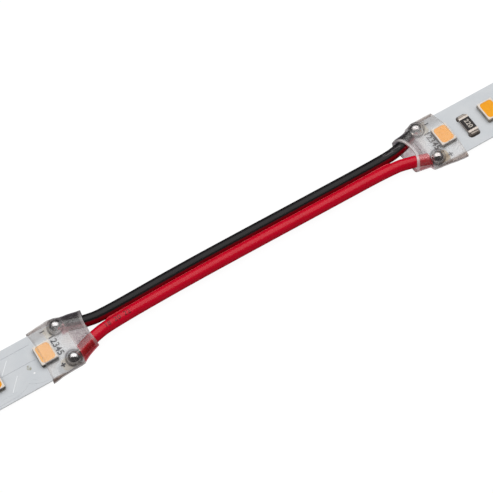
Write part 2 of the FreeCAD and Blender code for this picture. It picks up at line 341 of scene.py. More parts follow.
WORLD_LEVEL = 0.3
world = bpy.data.worlds.new("studio")
world.use_nodes = True
scene.world = world
background = world.node_tree.nodes["Background"]
background.inputs["Color"].default_value = (1, 1, 1, 1)
level = world.node_tree.nodes.new("ShaderNodeMapRange")
level.inputs["To Min"].default_value = WORLD_LEVEL
link = world.node_tree.links.new
link(seen_directly(world.node_tree), level.inputs["Value"])
link(level.outputs["Result"], background.inputs["Strength"])

FLOOR_HALF = 600.0
FLOOR_Z = -0.03
FLOOR_TONE = 0.68
FLOOR_GLOW = 1.08
SHADOW_SHARE = 0.12
floor_finish = Finish("floor", (FLOOR_TONE, FLOOR_TONE, FLOOR_TONE, 1), roughness=1.0, specular=0.0)
glow = floor_finish.node("ShaderNodeEmission", Color=(1, 1, 1, 1), Strength=FLOOR_GLOW)
glow_share = floor_finish.math("MULTIPLY", seen_directly(floor_finish.tree), 1 - SHADOW_SHARE)
floor_surface = floor_finish.mix_shaders(glow_share, floor_finish.shader.outputs["BSDF"],
                                         glow.outputs["Emission"])
floor_finish.set(floor_finish.output.inputs["Surface"], floor_surface)


def add_stage(name, points, finish):
    mesh = mesh_from(name, points, [tuple(range(len(points)))])
    mesh.materials.append(finish.material)
    made = add_object(name, mesh)
    return made


def span(half, near, far):
    """Corners of a card that reaches half to each side, from one (y, z) line to another."""
    return [(-half, *near), (half, *near), (half, *far), (-half, *far)]


add_stage("floor", span(FLOOR_HALF, (-FLOOR_HALF, FLOOR_Z), (FLOOR_HALF, FLOOR_Z)), floor_finish)


def turned(x, y, z):
    """Place in the studio, which is squared up to the camera, as a place in the frame."""
    return (x * math.cos(TURN) - y * math.sin(TURN), x * math.sin(TURN) + y * math.cos(TURN), z)


# Area lamp, long side across the picture, aimed at the middle of the part
LAMP_PLACE = (0, 125, 480)
lamp_data = bpy.data.lights.new("key_softbox", "AREA")
lamp_data.shape = "RECTANGLE"
lamp_data.size = 880 * MM
lamp_data.size_y = 600 * MM
lamp_data.energy = 2.58
aim = Vector(LAMP_PLACE).to_track_quat("Z", "Y").to_matrix().to_4x4()
tilt = Matrix.Rotation(TURN, 4, "Z") @ aim
lamp = add_object("key_softbox", lamp_data)
lamp.matrix_world = Matrix.Translation(Vector(turned(*LAMP_PLACE)) * MM) @ tilt


def add_flag(name, tone, corners):
    """Card that only gloss shows, as the unlit side of a studio."""
    finish = Finish(name, tone, roughness=1.0, specular=0.0)
    card = add_stage(name, [turned(*corner) for corner in corners], finish)
    card.visible_camera = card.visible_diffuse = False
    card.visible_transmission = card.visible_shadow = False


STUDIO_HALF = 500
STUDIO_REACH = 400
WALL_HEIGHT = 280
# Between the floor and the part
TABLE_Z = -0.012
DARK = srgb(36, 35, 38)
DIM = srgb(92, 90, 90)
SLOPE_FOOT = (-230, 230)
for name, tone, near, far in (
        ("table_flag", DARK, (-STUDIO_REACH, TABLE_Z), (STUDIO_REACH, TABLE_Z)),
        ("camera_side_flag", DARK, SLOPE_FOOT, (-110, 400)),
        ("near_side_flag", DARK, (-STUDIO_REACH, 0), SLOPE_FOOT),
        ("far_side_flag", DIM, (STUDIO_REACH, 0), (STUDIO_REACH, WALL_HEIGHT))):
    add_flag(name, tone, span(STUDIO_HALF, near, far))
for name, x in (("left_flag", -STUDIO_HALF), ("right_flag", STUDIO_HALF)):
    add_flag(name, DIM, [(x, -STUDIO_REACH, 0), (x, STUDIO_REACH, 0),
                         (x, STUDIO_REACH, WALL_HEIGHT), (x, -STUDIO_REACH, WALL_HEIGHT)])


# Finishes
def board_finish():
    made = Finish("board_white", srgb(212, 214, 216), roughness=0.42, specular=0.4)
    cloud = made.noise(2.2, detail=3)
    face = made.mix(made.spread(cloud, 0.3, 0.7), srgb(206, 210, 214), srgb(213, 216, 219))
    patchy = made.spread(made.noise(0.3, detail=4), 0.4, 0.6)
    # A brown spot on the left board and flux on the right one; the white spot on the left board is
    # a painted glint
    for place, reach, colour in (((-36.45, -0.54), (0.32, 0.45), srgb(150, 146, 124)),
                                 ((31.9, 3.72), (0.95, 0.2), srgb(150, 138, 122)),
                                 ((-36.15, -1.64), (0.15, 0.13), srgb(255, 255, 255))):
        face = made.mix(made.math("MULTIPLY", made.spot(place, reach), patchy), face, colour)
    # Below the top face the sides are a pale edge, painted lighter still as painted light against
    # the shade they stand in
    on_top = made.spread(made.axis(2), BOARD_TOP - 0.03, BOARD_TOP - 0.01)
    made.colour(made.mix(on_top, srgb(246, 246, 249), face))
    made.vary_roughness(made.noise(0.4), 0.36, 0.5)
    made.bump(made.noise(0.12, detail=3), 0.004)
    return made


def tape_finish():
    made = Finish("adhesive_tape", srgb(236, 235, 238), roughness=0.6, specular=0.3)
    fibre = made.noise(0.5, detail=4, stretch=(1, 3, 1))
    made.colour(made.mix(fibre, srgb(230, 229, 232), srgb(242, 241, 243)))
    made.bump(fibre, 0.01)
    return made


def pad_finish(name, clean, stained):
    """Pad tinned thinly over copper, stained by flux in patches."""
    made = Finish(name, clean, roughness=0.45, metallic=0.1)
    stain = made.noise(0.7, detail=4)
    made.colour(made.mix(made.spread(stain, 0.4, 0.65), clean, stained))
    made.vary_roughness(stain, 0.38, 0.55)
    made.bump(made.noise(0.12), 0.01)
    return made


def solder_finish():
    made = Finish("solder", srgb(186, 186, 188), roughness=0.12, metallic=1.0)
    frost = made.noise(0.45, detail=4)
    # The skin of flux on the lower part dulls it
    height = made.ragged(made.axis(2), frost, 0.12)
    bare = made.spread(height, BALL_TOP - 0.75, BALL_TOP - 0.6)
    metal = made.mix(frost, srgb(176, 176, 179), srgb(208, 208, 210))
    made.colour(made.mix(bare, srgb(188, 183, 180), metal))
    made.set(made.shader.inputs["Metallic"], made.spread(bare, 0, 1, 0.2, 1.0))
    made.set(made.shader.inputs["Roughness"], made.spread(bare, 0, 1, 0.5, 0.09))
    made.bump(made.noise(0.3, detail=2), 0.014)
    return made


def terminal_finish():
    made = Finish("led_terminal", srgb(176, 172, 164), roughness=0.32, metallic=1.0)
    made.vary_roughness(made.noise(0.2), 0.25, 0.42)
    made.bump(made.noise(0.08), 0.003)
    return made


def housing_finish(name, light, dark):
    """Cream moulding whose sides are grey below the rim, for the lead frame inside and as painted
    shade; light and dark set how deep that grey is.
    """
    made = Finish(name, srgb(232, 220, 205), roughness=0.5)
    speck = made.noise(0.18, detail=3)
    height = made.ragged(made.axis(2), speck, 0.05)
    share = made.spread(height, LED_TOP - 0.13, LED_TOP - 0.06)
    patch = made.mix(made.spread(made.noise(0.5, detail=3), 0.4, 0.6), light, dark)
    made.colour(made.mix(share, patch, srgb(234, 224, 212)))
    made.bump(speck, 0.004)
    return made


def phosphor_finish(name, middle, edge):
    """Silicone filled with phosphor powder, deeper in colour in clouds and fine grains."""
    made = Finish(name, middle, roughness=0.42, specular=0.18)
    grain = made.noise(0.09, detail=4, roughness=0.7)
    cloud = made.noise(0.6, detail=2)
    toned = made.mix(made.spread(cloud, 0.35, 0.7, 0, 0.6), middle, edge)
    made.colour(made.mix(made.spread(grain, 0.45, 0.75, 0, 0.35), toned, edge))
    made.bump(grain, 0.006)
    return made


def core_finish(name, base, shade, other=None, specular=0.32, sheen_streaks=None):
    """Soft PVC. other colours the side that was bonded, a red dark enough to paint the groove's
    shade too; the last argument places a few light streaks, painted highlights.
    """
    made = Finish(name, base, roughness=0.36, specular=specular)
    cloud = made.noise(1.2, detail=3, stretch=(0.3, 1, 1))
    body = made.mix(made.spread(cloud, 0.3, 0.7), base, shade)
    if other is not None:
        inward = made.ragged(made.attribute("inward"), made.noise(0.5, detail=4), 0.06)
        body = made.mix(made.spread(inward, 0.62, 0.8), body, other)
    if sheen_streaks is not None:
        # Painted highlights: a few light streaks on the core
        streaks = made.noise(0.16, detail=4, stretch=(0.2, 1, 1))
        streaks = made.math("MULTIPLY", made.spot(*sheen_streaks), made.spread(streaks, 0.52, 0.62, 0, 0.5))
        body = made.mix(streaks, body, srgb(128, 122, 124))
    made.colour(body)
    made.vary_roughness(made.noise(0.3, detail=3), 0.2, 0.32)
    made.bump(made.noise(0.16, detail=4, roughness=0.6), 0.004)
    return made


def fillet_finish(name, light, dark, roughness, shaded_past):
    """Duller solder, painted darker towards the board and past a distance from the resistor's
    middle as painted shade.
    """
    made = Finish(name, light, roughness=roughness, metallic=0.45)
    frost = made.noise(0.25, detail=4)
    height = made.ragged(made.axis(2), frost, 0.15)
    toned = made.mix(made.spread(height, BOARD_TOP, BOARD_TOP + 0.5), dark, light)
    past = made.math("SUBTRACT", made.axis(1), node_centre("resistor_body")[1])
    past = made.ragged(made.math("ABSOLUTE", past), frost, 0.15)
    made.colour(made.mix(made.spread(past, shaded_past, shaded_past + 0.12, 0, 0.8), toned, dark))
    made.vary_roughness(frost, roughness - 0.06, roughness + 0.08)
    made.bump(frost, 0.05)
    return made


def copper_finish():
    made = Finish("tinned_copper", srgb(205, 200, 192), roughness=0.25, metallic=1.0)
    made.colour(made.mix(made.noise(0.6), srgb(196, 186, 172), srgb(214, 212, 208)))
    made.vary_roughness(made.noise(0.15), 0.2, 0.35)
    return made


def ink_finish(name, dark, light):
    made = Finish(name, dark, roughness=0.6, specular=0.2)
    made.colour(made.mix(made.noise(0.12, detail=3), dark, light))
    return made


def resistor_face_finish():
    made = Finish("resistor_body", srgb(34, 32, 32), roughness=0.35, specular=0.2)
    on_top = made.spread(made.axis(2), BOARD_TOP + 0.5, BOARD_TOP + 0.54)
    made.colour(made.mix(on_top, srgb(170, 160, 154), srgb(34, 28, 29)))
    made.vary_roughness(made.noise(0.2), 0.3, 0.45)
    made.bump(made.noise(0.15, detail=3), 0.006)
    return made


def mark_finish():
    made = Finish("resistor_mark", srgb(226, 218, 208), roughness=0.6)
    made.colour(made.mix(made.noise(0.15, detail=3), srgb(182, 174, 164), srgb(214, 206, 196)))
    return made


# What the film lets through where nothing marks it, and under each mark, in the order of laying
FILM_PLAIN = (0.93, 0.925, 0.92, 1)
FILM_CLOUDED = (0.9, 0.875, 0.86, 1)
# The low, neck and ring marks and the mark at the side walls paint shadow and shade into the film
FILM_TINTS = {
    "clings": (0.985, 0.98, 0.975, 1),
    "edge_on": (0.68, 0.65, 0.64, 1),
    "crease": (0.72, 0.7, 0.69, 1),
    "fold_and_shade": (0.5, 0.4, 0.35, 1),
    "low": (0.72, 0.7, 0.7, 1),
    "neck": (0.64, 0.59, 0.605, 1),
    "ring": (0.46, 0.45, 0.46, 1),
    "by_black": (0.3, 0.28, 0.31, 1),
    "by_red": (0.7, 0.24, 0.28, 1),
}


def film_finish():
    """Thin clear shrink film: slightly hazy and glossy, dimmer where seen edge on or folded, and
    darkened where marks paint shade and shadow into it.
    """
    made = Finish("clear_film", srgb(226, 220, 219), roughness=0.4, specular=0.2)
    facing = made.node("ShaderNodeLayerWeight", Blend=0.5).outputs["Facing"]
    cloud = made.noise(0.8, detail=5, roughness=0.6)
    grain = made.noise(0.42, detail=3, roughness=0.7)
    edge_on = made.math("POWER", facing, 3.0)
    clings = made.attribute("clings")
    haze = made.spread(cloud, 0.3, 0.7, 0.03, 0.08)
    haze = made.math("ADD", haze, made.math("MULTIPLY", edge_on, 0.05))
    haze = made.math("MULTIPLY", haze, made.spread(clings, 0, 1, 1.0, 0.25))
    haze = made.math("MAXIMUM", haze, made.math("MULTIPLY", made.attribute("rim"), 0.66))
    # Creases lie along a level line of one noise, in the patches that another leaves them
    crease = made.math("ABSOLUTE", made.math("SUBTRACT", made.noise(1.3, detail=3), 0.5))
    crease = made.math("MULTIPLY", made.spread(crease, 0, 0.012, 1, 0),
                       made.spread(made.noise(2.0), 0.5, 0.6, 0, 0.6))
    # Where the film clings to a core it takes on the core's colour, as a lens over it would
    frost = made.spread(grain, 0.4, 0.6, 0.75, 1.0)
    uneven = {"low": made.spread(cloud, 0.3, 0.7, 0.6, 1.0), "by_black": frost, "by_red": frost,
              "neck": made.spread(grain, 0.42, 0.58, 0.3, 1.15)}
    shares = {"clings": clings, "edge_on": edge_on, "crease": crease}
    patches = made.spread(made.noise(1.6, detail=3), 0.42, 0.62)
    tint = made.mix(patches, FILM_PLAIN, FILM_CLOUDED)
    for mark, colour in FILM_TINTS.items():
        amount = shares[mark] if mark in shares else made.attribute(mark)
        if mark in uneven:
            amount = made.math("MULTIPLY", amount, uneven[mark])
        tint = made.mix(amount, tint, colour)
    clear = made.node("ShaderNodeBsdfTransparent", Color=tint)
    veil = made.mix_shaders(haze, clear.outputs["BSDF"], made.shader.outputs["BSDF"])
    normal = made.bump(made.noise(0.5, detail=3), 0.012)
    shine = made.node("ShaderNodeBsdfGlossy", Color=(1, 1, 1, 1), Roughness=0.12, Normal=normal)
    mirror = made.spread(made.math("POWER", facing, 5.0), 0, 1, 0.04, 0.9)
    mirror = made.math("MULTIPLY", mirror, made.spread(clings, 0, 1, 1.0, 0.3))
    surface = made.mix_shaders(mirror, veil, shine.outputs["BSDF"])
    # Light passes the film unchanged, so that what it covers is lit as what lies beside it
    path = made.node("ShaderNodeLightPath")
    lets_by = made.math("MAXIMUM", path.outputs["Is Shadow Ray"], path.outputs["Is Diffuse Ray"])
    unseen = made.node("ShaderNodeBsdfTransparent", Color=(1, 1, 1, 1))
    whole = made.mix_shaders(lets_by, surface, unseen.outputs["BSDF"])
    made.set(made.output.inputs["Surface"], whole)
    return made


BOARD = board_finish()
CREASE = Finish("board_crease", srgb(244, 246, 248), roughness=0.4)
TAPE = tape_finish()
PAD = pad_finish("copper_pad", srgb(208, 206, 200), srgb(196, 190, 176))
PAD_STAINED = pad_finish("copper_pad_stained", srgb(206, 196, 176), srgb(160, 138, 106))
SOLDER = solder_finish()
TERMINAL = terminal_finish()
# One moulding copied for each LED; the copies differ only in how deep the painted shade on their
# sides is
HOUSING = housing_finish("led_housing", srgb(104, 99, 96), srgb(62, 58, 58))
HOUSING_COVERED = housing_finish("led_housing_covered", srgb(60, 56, 57), srgb(30, 28, 29))
HOUSING_PALE = housing_finish("led_housing_pale", srgb(186, 174, 162), srgb(138, 128, 118))
HOUSING_GREY = housing_finish("led_housing_grey", srgb(166, 156, 154), srgb(112, 104, 103))
PHOSPHOR = phosphor_finish("led_phosphor", srgb(255, 174, 26), srgb(246, 158, 14))
# Paler copies for the two LEDs under the film: the film's veil of scattered light is painted into
# their colour
PHOSPHOR_COVERED = phosphor_finish("led_phosphor_covered", srgb(255, 194, 124), srgb(254, 184, 108))
PHOSPHOR_DEEP = phosphor_finish("led_phosphor_deep", srgb(255, 182, 90), srgb(254, 172, 74))
# The black core's bonded side is real red, darkened as painted shade of the groove; its streaks are
# painted highlights
BLACK = core_finish("black_insulation", srgb(33, 31, 32), srgb(26, 25, 26), srgb(126, 0, 18), 0.15,
                    sheen_streaks=((25.2, 1.3), (1.7, 0.4)))
RED = core_finish("red_insulation", srgb(212, 0, 40), srgb(200, 0, 34), specular=0.25)
WIRE_PRINT = core_finish("wire_print", srgb(92, 4, 16), srgb(130, 0, 22))
CAP = fillet_finish("resistor_cap", srgb(190, 180, 171), srgb(92, 83, 76), 0.36, 1.38)
FILLET = fillet_finish("resistor_solder", srgb(160, 150, 141), srgb(74, 65, 60), 0.4, 1.9)
COPPER = copper_finish()
INK = ink_finish("ink", srgb(40, 42, 50), srgb(74, 76, 84))
INK_FAINT = ink_finish("ink_faint", srgb(70, 70, 76), srgb(128, 126, 126))
RESISTOR = resistor_face_finish()
MARK = mark_finish()
FILM = film_finish()


# Cable
def spline_points(route):
    """Points along the smooth line that the route's control points steer, in millimetres."""
    data = bpy.data.curves.new("route", "CURVE")
    data.dimensions = "3D"
    spline = data.splines.new("NURBS")
    spline.points.add(len(route) - 1)
    for point, (x, y) in zip(spline.points, route):
        point.co = (x * MM, y * MM, CORE_Z * MM, 1.0)
    spline.order_u = 3
    spline.use_endpoint_u = True
    spline.resolution_u = 12
    mesh = mesh_of(data)
    line = np.array([v.co for v in mesh.vertices]) / MM
    bpy.data.meshes.remove(mesh)
    return line


def line_frames(line):
    """Unit sideways vectors, to the left of the direction of travel, for a level line."""
    along = np.gradient(line, axis=0)
    along /= np.linalg.norm(along, axis=1)[:, None]
    return np.stack([-along[:, 1], along[:, 0], np.zeros(len(line))], axis=1)


def store(piece, name, values):
    """Keep a number for each point, for the material to read."""
    attribute = piece.data.attributes.new(name, "FLOAT", "POINT")
    attribute.data.foreach_set("value", values)


def add_core(name, line, inner_side, finish):
    """Insulation of one core: a tube along the line, its cut ends open round the conductor."""
    around = 40
    angles = [2 * math.pi * k / around for k in range(around)]
    sideways = line_frames(line)
    lip = 0.05
    clear_of_cut = abs(line[0][0]) - 0.4
    last = len(line) - 1
    cut = (BORE_RADIUS, CORE_RADIUS - lip, CORE_RADIUS)
    rows = [(0, radius) for radius in cut]
    rows += [(k, CORE_RADIUS) for k in range(last) if abs(line[k][0]) < clear_of_cut]
    rows += [(last, radius) for radius in reversed(cut)]
    points, inward = [], []
    for index, radius in rows:
        for angle in angles:
            across = math.cos(angle)
            place = line[index] + (sideways[index] * across + UP * math.sin(angle)) * radius
            if index in (0, last):
                # The cut is square to X: the point slides along the core to the plane of the cut
                step = line[1] - line[0] if index == 0 else line[last] - line[last - 1]
                place = place + step * (line[index][0] - place[0]) / step[0]
            points.append(place)
            inward.append(across * inner_side)
    faces = skin([range(around)] * len(rows), closed=False)
    piece = add_piece(name, points, faces, finish)
    store(piece, "inward", inward)
    return piece


def add_web(name, line, finish):
    """Rib that bonds the two cores, from the first core's line towards the second."""
    half = WEB_HEIGHT / 2
    near = CORE_RADIUS * 0.5
    far = 2 * CORE_RADIUS + 0.05 - near
    profile = [(near, -half), (far, -half), (far, half), (near, half)]
    taper = 2.5
    rings = []
    for place, side in zip(line, line_frames(line)):
        left_over = fall(abs(place[0]), abs(line[0][0]), taper)
        breadth = 0.25 + 0.75 * left_over
        thickness = 0.3 + 0.7 * left_over
        rings.append([place + side * (near + (across - near) * breadth) + UP * (z * thickness)
                      for across, z in profile])
    return add_rings(name, rings, finish)


black_line = spline_points(BLACK_ROUTE)
red_line = spline_points(RED_ROUTE)
black_core = add_core("black_core", black_line, -1, BLACK)
red_core = add_core("red_core", red_line, 1, RED)
WEB_REACH = 24.9
bonded = [point for point in red_line if abs(point[0]) < WEB_REACH]
cable_web = add_web("cable_web", np.array(bonded), RED)
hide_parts("black_insulation")
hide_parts("red_insulation")
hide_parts("red_insulation")


# Sleeves
# Outline of each sleeve: distance from the middle, reach on the -Y and the +Y side, height of the
# side line, and how far the section tucks in below it
SLEEVE_OUTLINE = {
    "left": [
        (26.2, 2.68, 3.40, 1.15, 1.0), (27.0, 2.98, 3.52, 1.20, 1.0),
        (27.6, 3.22, 3.62, 1.30, 0.9), (28.2, 3.46, 3.72, 1.35, 0.8),
        (28.9, 3.78, 3.92, 1.15, 0.6), (29.4, 4.06, 4.16, 0.95, 0.4),
        (30.0, 4.12, 4.42, 0.95, 0.35), (31.0, 4.14, 4.46, 1.15, 0.34),
        (32.0, 4.18, 4.46, 1.08, 0.34), (33.0, 4.22, 4.46, 0.86, 0.32),
        (33.7, 4.30, 4.46, 0.72, 0.2), (34.9, 4.42, 4.44, 0.45, 0.12)],
    "right": [
        (26.2, 2.95, 3.00, 1.10, 1.0), (27.0, 3.18, 3.26, 1.10, 1.0),
        (28.2, 3.36, 3.43, 1.00, 0.9), (29.0, 3.44, 3.60, 0.80, 0.7),
        (29.32, 4.02, 4.10, 0.66, 0.4), (30.3, 4.16, 4.40, 0.60, 0.3),
        (31.2, 4.26, 4.46, 0.78, 0.25), (32.0, 4.36, 4.47, 0.82, 0.2),
        (33.0, 4.54, 4.47, 0.84, 0.15), (34.2, 4.64, 4.50, 0.74, 0.12),
        (34.9, 4.68, 4.50, 0.60, 0.12)],
}
# Places of the mouth and of the strip end at -Y and +Y, and how far their edges dish in
SLEEVE_ENDS = {
    "left": {"mouth": (26.50, 26.25), "dish_top": 0.45, "dish_bottom": 0.2,
             "strip": (34.50, 34.50), "strip_dish": 0.22},
    "right": {"mouth": (26.70, 26.30), "dish_top": 1.15, "dish_bottom": 0.1,
              "strip": (34.80, 34.22), "strip_dish": 0.0},
}
# How strong the marks are: the lip at the mouth, how close the film clings to what it covers, the
# red of the red core's edge, the painted shade of the neck, the fold and painted shade at -Y and
# the painted shadow where the film bridges beside the LED
FILM_SHARES = {
    "left": {"lip": 0.35, "on_black": 0.45, "on_red": 0.85, "on_led": 0.8, "on_ball": 0.35,
             "red_edge": 1.0, "neck": 0.85, "fold_and_shade": 0.9, "bridge_shade": 1.0},
    "right": {"lip": 0.9, "on_black": 0.7, "on_red": 0.3, "on_led": 0.9, "on_ball": 0.15,
              "red_edge": 0.45, "neck": 1.0, "fold_and_shade": 0.65, "bridge_shade": 0.4},
}
RING_AXIS = np.array([-0.19, -0.4, 0.897])
RING_RADIUS = 1.15
SLEEVE_LENGTH = 8.2
SLEEVE_BREADTH = 8.8
ALONG_STEPS = 120
ACROSS_STEPS = 80
LIP_ROWS = 7
STRIP_END_ROWS = 4


def outline_at(side, distance, column):
    rows = SLEEVE_OUTLINE[side]
    return np.interp(distance, [row[0] for row in rows], [row[column] for row in rows])


def core_line_y(line, sign, distance):
    """Where a core's line is across the strip, at a distance from the middle."""
    order = np.argsort(sign * line[:, 0])
    return np.interp(distance, sign * line[order, 0], line[order, 1])


def covered_height(sign, distance, across):
    """Height of the film where it touches what it covers, or a low value where nothing is near."""
    reach = FILM_WALL + FILM_GAP
    ball_reach = FILM_WALL_OVER_BALL + FILM_GAP
    nothing_near = 0.2

    def dome(gap, radius, base):
        inside = np.clip(radius ** 2 - gap ** 2, 0, None)
        return np.where(gap < radius, base + np.sqrt(inside), 0.0)

    def slab(half_along, half_across, middle, top):
        beside = np.hypot(np.clip(np.abs(distance - middle) - half_along, 0, None),
                          np.clip(np.abs(across) - half_across, 0, None))
        return dome(beside, reach, top)

    half_board = (BOARD_FAR - BOARD_END) / 2
    board = slab(half_board, BOARD_HALF - 0.15, BOARD_END + half_board, BOARD_TOP)
    led = slab(LED_WIDTH / 2, LED_LENGTH / 2, LED_X, LED_TOP)
    height = np.maximum(nothing_near, np.maximum(board, led))
    for line, side in ((black_line, 1), (red_line, -1)):
        ball_gap = np.hypot(distance - BALL_X, across - side * BALL_Y)
        ball = dome(ball_gap, BALL_RADIUS + ball_reach, BALL_TOP - BALL_RADIUS)
        beside = across - core_line_y(line, sign, distance)
        past_end = np.clip(distance - abs(line[0][0]), 0, None)
        core = dome(np.hypot(beside, past_end), CORE_RADIUS + reach, CORE_Z)
        height = np.maximum(height, np.maximum(ball, core))
    return height


def taut_film(contact, edge_low, edge_high, step_along, step_across, rounds=2500):
    """Film stretched over the contact heights and held at its two sides.

    Each free point sinks to the mean of its neighbours, counting those across more, as the tube
    shrinks mostly round itself.
    """
    along_weight = 0.35 / step_along ** 2
    across_weight = 1 / step_across ** 2
    total = 2 * (along_weight + across_weight)
    film = np.maximum(contact, 1.2)
    for _ in range(rounds):
        film[:, 0] = edge_low
        film[:, -1] = edge_high
        padded = np.pad(film, ((1, 1), (0, 0)), mode="edge")
        along = padded[2:, 1:-1] + padded[:-2, 1:-1]
        across = film[:, 2:] + film[:, :-2]
        mean = (along * along_weight + across * across_weight) / total
        film[:, 1:-1] = np.maximum(contact[:, 1:-1], mean)
    return film


def grid_normals(grid):
    """Outward unit normals of a tube given as rings of points."""
    along = np.gradient(grid, axis=0)
    wrapped = np.concatenate([grid[:, -1:], grid, grid[:, :1]], axis=1)
    around = wrapped[:, 2:] - wrapped[:, :-2]
    normals = np.cross(along, around)
    return normals / np.linalg.norm(normals, axis=2)[:, :, None]


def sleeve_grid(side):
    """Outer face of a sleeve as rings of points, from the mouth to the strip end."""
    sign = SIGN[side]
    ends = SLEEVE_ENDS[side]
    t = np.linspace(0, 1, ALONG_STEPS)[:, None]
    s = np.linspace(-1, 1, ACROSS_STEPS)[None, :]
    mouth = np.interp(s, [-1, 1], ends["mouth"])
    strip = np.interp(s, [-1, 1], ends["strip"])
    dish = 1 - s ** 2
    start = mouth + ends["dish_top"] * dish
    end = strip - ends["strip_dish"] * dish
    distance = start + (end - start) * t
    low_reach = outline_at(side, distance[:, :1], 1)
    high_reach = outline_at(side, distance[:, -1:], 2)
    across = -low_reach + (low_reach + high_reach) * (s + 1) / 2
    edge_low = outline_at(side, distance[:, 0], 3)
    edge_high = outline_at(side, distance[:, -1], 3)
    top = taut_film(covered_height(sign, distance, across), edge_low, edge_high,
                    SLEEVE_LENGTH / ALONG_STEPS, SLEEVE_BREADTH / ACROSS_STEPS)

    # Below the side line each section turns under and runs flat along the surface
    turns = 8
    angles = [math.radians(90 * k / turns) for k in range(1, turns + 1)]
    floor_steps = 24

    def under(column, edge, direction):
        tuck = outline_at(side, distance[:, column], 4)
        made = []
        for angle in angles:
            y = across[:, column] - direction * tuck * (1 - math.cos(angle))
            z = edge * (1 - math.sin(angle))
            made.append(np.stack([sign * distance[:, column], y, z], axis=1)[:, None, :])
        return np.concatenate(made, axis=1)

    right_under = under(-1, edge_high, 1)
    left_under = under(0, edge_low, -1)[:, ::-1]
    share = np.linspace(0, 1, floor_steps)[1:-1]
    first, last = right_under[:, -1], left_under[:, 0]
    floor = first[:, None, :] + (last - first)[:, None, :] * share[None, :, None]
    bottom_dish = (1 - (2 * share - 1) ** 2) * ends["dish_bottom"]
    floor[:, :, 0] += sign * (1 - t) * bottom_dish[None, :]
    over = np.stack([sign * distance, across, top], axis=2)
    return np.concatenate([over, right_under, floor, left_under], axis=1)


def film_marks(side, outer, above, over_ball):
    """Where each mark of the film lies, 0 to 1 for each point of its outer face."""
    sign = SIGN[side]
    shares = FILM_SHARES[side]
    x, y, z = np.moveaxis(outer, 2, 0)
    distance = np.abs(x)
    black_y = core_line_y(black_line, sign, distance)
    red_y = core_line_y(red_line, sign, distance)
    over_cores = fall(distance, BOARD_END + 0.02, 0.3)
    rim = np.zeros(x.shape)
    rim[:LIP_ROWS] = shares["lip"] * np.linspace(1, 0.6, LIP_ROWS)[:, None]
    rim[-1:] = 0.5
    # The side walls are darker and browner, strongly at -Y and weakly at +Y: a fold of the film,
    # with painted shade on it
    fold_and_shade = rise(np.abs(y), BOARD_HALF - 0.1, 0.12) * rise(distance, BOARD_END - 0.3, 0.4)
    fold_and_shade *= fall(z, BOARD_TOP + 0.35, 0.15) * np.where(y > 0, 0.3, shares["fold_and_shade"])
    # The film's underside is darkened as painted shadow on the floor beneath it, seen through the
    # neck
    low = np.zeros(x.shape)
    low[:, ACROSS_STEPS:] = 1.0
    by_black = over_cores * rise(y, black_y + 0.45, 0.3)
    by_red = shares["red_edge"] * over_cores * fall(y, red_y - 0.45, 0.3)
    # The band on the inner side of the black core shows as mauve
    below_black = black_y - y
    band = over_cores * above * rise(below_black, 0.35, 0.2) * fall(below_black, 1.25, 0.3)
    by_red = np.maximum(by_red, 0.5 * band)
    # A dark ring is painted on the film round each ball, as painted shade of the pocket where the
    # film stands off from it, seen from above and a little from -Y
    ring = np.zeros(x.shape)
    for across in (BALL_Y, -BALL_Y):
        gap = outer - np.array([sign * BALL_X, across, BALL_TOP - 1.05])
        gap -= (gap @ RING_AXIS)[:, :, None] * RING_AXIS
        off_ring = np.abs(np.linalg.norm(gap, axis=2) - RING_RADIUS)
        ring = np.maximum(ring, fall(off_ring, 0.165, 0.11))
    ring *= above * np.maximum(fall(y, BOARD_HALF + 0.1, 0.5), 0.3)
    if side == "left":
        # The mauve runs on past the board's end as far as the ball
        past_end = distance - BOARD_END
        run_on = above * rise(past_end, -0.15, 0.15) * fall(past_end, 1.0, 0.3)
        run_on *= rise(y, 0.6, 0.3) * fall(y, 2.8, 0.3)
        by_red = np.maximum(by_red, 0.6 * run_on * (1 - over_ball))
        # The film is duller over the far half of the red core, and painted darker there as painted
        # shade that hides the core's highlight
        dull = over_cores * above * rise(y, red_y - 0.6, 0.25) * fall(y, red_y + 0.6, 0.3)
        by_black = np.maximum(by_black, 0.5 * dull)
        rim = np.maximum(rim, 0.12 * dull)
        # The edge at the strip end shows as a faint grey line
        ring[-STRIP_END_ROWS:] = np.maximum(ring[-STRIP_END_ROWS:], 0.2)
    else:
        by_black *= fall(distance, BOARD_END - 0.4, 0.3)
    # The film bridges the corner at the -Y side of the LED; the dark there is painted shadow on the
    # board beneath
    beside_led = fall(np.abs(y + LED_LENGTH / 2 + 0.2), 0.32, 0.2)
    beside_led *= fall(np.abs(distance - LED_X - 0.05), LED_WIDTH / 2, 0.2)
    ring = np.maximum(ring, shares["bridge_shade"] * above * beside_led)
    on_cores = np.maximum(shares["on_black"] * rise(y, black_y - 1.1, 0.3),
                          shares["on_red"] * fall(y, red_y + 1.1, 0.3))
    led_gap = np.maximum(np.abs(distance - LED_X) - LED_WIDTH / 2, np.abs(y) - LED_LENGTH / 2)
    clings = np.maximum(over_cores * on_cores, shares["on_led"] * fall(led_gap, 0.8, 0.3))
    clings = np.maximum(clings, shares["on_ball"] * over_ball)
    # The film between the cores is darkened as painted shade between them
    neck = shares["neck"] * over_cores * fall(y, black_y - 0.1, 0.4) * rise(y, red_y - 0.1, 0.4)
    return {"rim": rim, "fold_and_shade": fold_and_shade, "low": low, "by_black": by_black, "by_red": by_red,
            "ring": ring, "neck": neck, "clings": clings}


